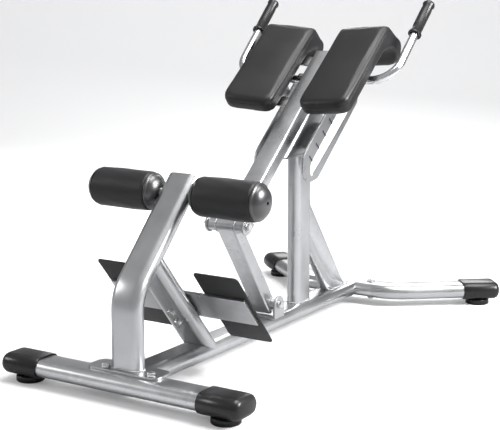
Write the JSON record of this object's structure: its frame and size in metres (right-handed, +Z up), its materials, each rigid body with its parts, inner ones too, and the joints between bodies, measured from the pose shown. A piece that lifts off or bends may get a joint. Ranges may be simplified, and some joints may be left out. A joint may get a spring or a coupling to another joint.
{
  "type": "45 degree hyperextension bench",
  "caption": "Free-standing inclined back-extension bench: split hip pads and handles on a sliding carriage, ankle rollers on a bent mast, foot plates and wide stabiliser feet.",
  "frame": {"origin": "on the floor, under the middle of the machine's length and width", "axes": "+X to the user's right when facing the pads, +Y from the ankle rollers towards the pads and handles, +Z up"},
  "size_m": [0.8846, 1.4996, 0.9694],
  "materials": {
    "silver_paint": "bright silver metallic, semi-gloss",
    "zinc_steel": "zinc plated",
    "bright_tube": "bright satin",
    "dark_plate": "matte dark grey, fine texture",
    "black_vinyl": "black upholstery vinyl, soft sheen",
    "black_foam": "black skinned foam",
    "black_rubber": "matte black moulded rubber",
    "black_plastic": "black moulded plastic"
  },
  "bodies": {
    "frame": {"rear_crossbar": "silver_paint", "mast_base_plate": "silver_paint", "mast": "silver_paint", "main_rail": "silver_paint", "lower_brace": "silver_paint", "footplate_bar": "silver_paint", "upright": "silver_paint", "guide_sleeve": "silver_paint", "cheek_plate_left": "silver_paint", "cheek_plate_right": "silver_paint", "cheek_tie": "silver_paint", "front_brace": "silver_paint", "front_hub": "silver_paint", "front_arm_left": "silver_paint", "front_arm_right": "silver_paint", "pivot_bracket": "silver_paint", "base_bolt_left": "zinc_steel", "base_bolt_right": "zinc_steel", "footplate_bolt_upper": "zinc_steel", "footplate_bolt_lower": "zinc_steel", "roller_axle": "zinc_steel", "hub_bolt_left": "zinc_steel", "hub_bolt_right": "zinc_steel", "lower_hinge_bolt": "zinc_steel", "footplate_left": "dark_plate", "footplate_right": "dark_plate", "rear_cap_left": "black_rubber", "rear_cap_right": "black_rubber", "front_cap_left": "black_rubber", "front_cap_right": "black_rubber", "foot_rear_left": "black_rubber", "foot_rear_right": "black_rubber", "foot_front_left": "black_rubber", "foot_front_right": "black_rubber"},
    "link": {"swing_link": "silver_paint", "link_lower_sleeve": "silver_paint", "link_upper_sleeve": "silver_paint", "upper_hinge_bolt": "zinc_steel"},
    "carriage": {"beam_yoke": "silver_paint", "carriage_beam": "silver_paint", "guide_bar": "silver_paint", "pad_plate_left": "silver_paint", "pad_plate_right": "silver_paint", "pad_arm_lower_left": "silver_paint", "pad_arm_lower_right": "silver_paint", "pad_arm_upper_left": "silver_paint", "pad_arm_upper_right": "silver_paint", "hip_pad_left": "black_vinyl", "hip_pad_right": "black_vinyl", "handle_left": "bright_tube", "handle_right": "bright_tube", "grip_left": "black_rubber", "grip_right": "black_rubber", "index_tab": "silver_paint", "index_housing": "zinc_steel"},
    "plunger": {"index_plunger": "black_plastic"},
    "roller_left": {"roller_core_left": "black_plastic", "roller_foam_left": "black_foam"},
    "roller_right": {"roller_core_right": "black_plastic", "roller_foam_right": "black_foam"}
  },
  "joints": [
    {"name": "link_swing", "type": "hinge", "parent": "frame", "child": "link", "pos_m": [0, -0.0448, 0.108], "axis": [1, 0, 0], "range_deg": [-5.5, 11]},
    {"name": "beam_tilt", "type": "hinge", "parent": "link", "child": "carriage", "pos_m": [0, -0.2242, 0.365], "axis": [1, 0, 0], "range_deg": [-11, 5.5]},
    {"name": "index_pull", "type": "slide", "parent": "carriage", "child": "plunger", "axis": [-1, 0, 0], "range_m": [0, 0.012], "stiffness_N_per_m": 400, "springref_m": -0.006},
    {"name": "roller_left_spin", "type": "hinge", "parent": "frame", "child": "roller_left", "pos_m": [-0.1615, -0.4618, 0.48514], "axis": [1, 0, 0], "continuous": true},
    {"name": "roller_right_spin", "type": "hinge", "parent": "frame", "child": "roller_right", "pos_m": [0.1615, -0.4618, 0.48514], "axis": [1, 0, 0], "continuous": true}
  ],
  "couplings": [
    {"joint": "beam_tilt", "follows": "link_swing", "ratio": -1}
  ]
}
